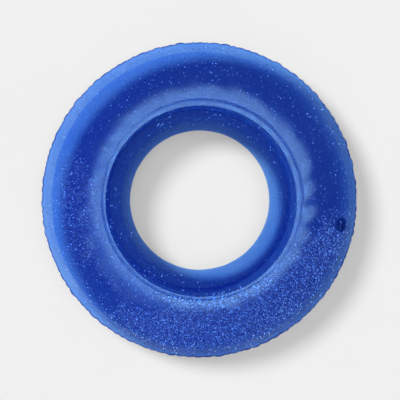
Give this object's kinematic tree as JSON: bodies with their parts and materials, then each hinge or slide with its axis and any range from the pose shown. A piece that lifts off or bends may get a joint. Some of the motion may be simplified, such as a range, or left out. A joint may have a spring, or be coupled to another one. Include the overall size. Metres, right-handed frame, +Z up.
{
  "type": "inflatable swim ring",
  "caption": "Round inflatable swim ring of translucent blue film with a round hole for the swimmer, loose glitter inside and a push-in valve with a tethered plug.",
  "frame": {"origin": "centre of the ring, on the surface that it lies on", "axes": "+Z up along the ring's axis, +X towards the side that has the valve"},
  "size_m": [0.79, 0.79, 0.2163],
  "materials": {
    "film": "glossy translucent blue vinyl film, about 0.3 mm thick",
    "valve_vinyl": "soft moulded vinyl, satin, dark translucent blue",
    "glitter": "metallised film cut into small hexagons, bright silver blue"
  },
  "bodies": {
    "ring": {"upper_panel": "film", "lower_panel": "film", "inner_wall": "film", "valve_flange": "valve_vinyl", "valve_skirt": "valve_vinyl", "glitter_drift_right": "glitter", "glitter_drift_left": "glitter"},
    "stem": {"valve_stem": "valve_vinyl", "plug_strap": "valve_vinyl"},
    "plug": {"valve_plug": "valve_vinyl"},
    "flap": {"valve_flap": "valve_vinyl"}
  },
  "joints": [
    {"name": "stem_pull", "type": "slide", "parent": "ring", "child": "stem", "axis": [0.7865, -0.1387, -0.6018], "range_m": [0, 0.01], "deforming": ["valve_skirt"]},
    {"name": "plug_fold", "type": "hinge", "parent": "stem", "child": "plug", "pos_m": [0.37178, -0.05449, 0.04934], "axis": [0.5927, -0.1045, 0.7986], "range_deg": [0, 165], "deforming": ["plug_strap"]},
    {"name": "flap_fold", "type": "hinge", "parent": "stem", "child": "flap", "pos_m": [0.35707, -0.05707, 0.05992], "axis": [-0.5927, 0.1045, -0.7986], "range_deg": [0, 60], "stiffness_Nm_per_rad": 0.0004}
  ]
}
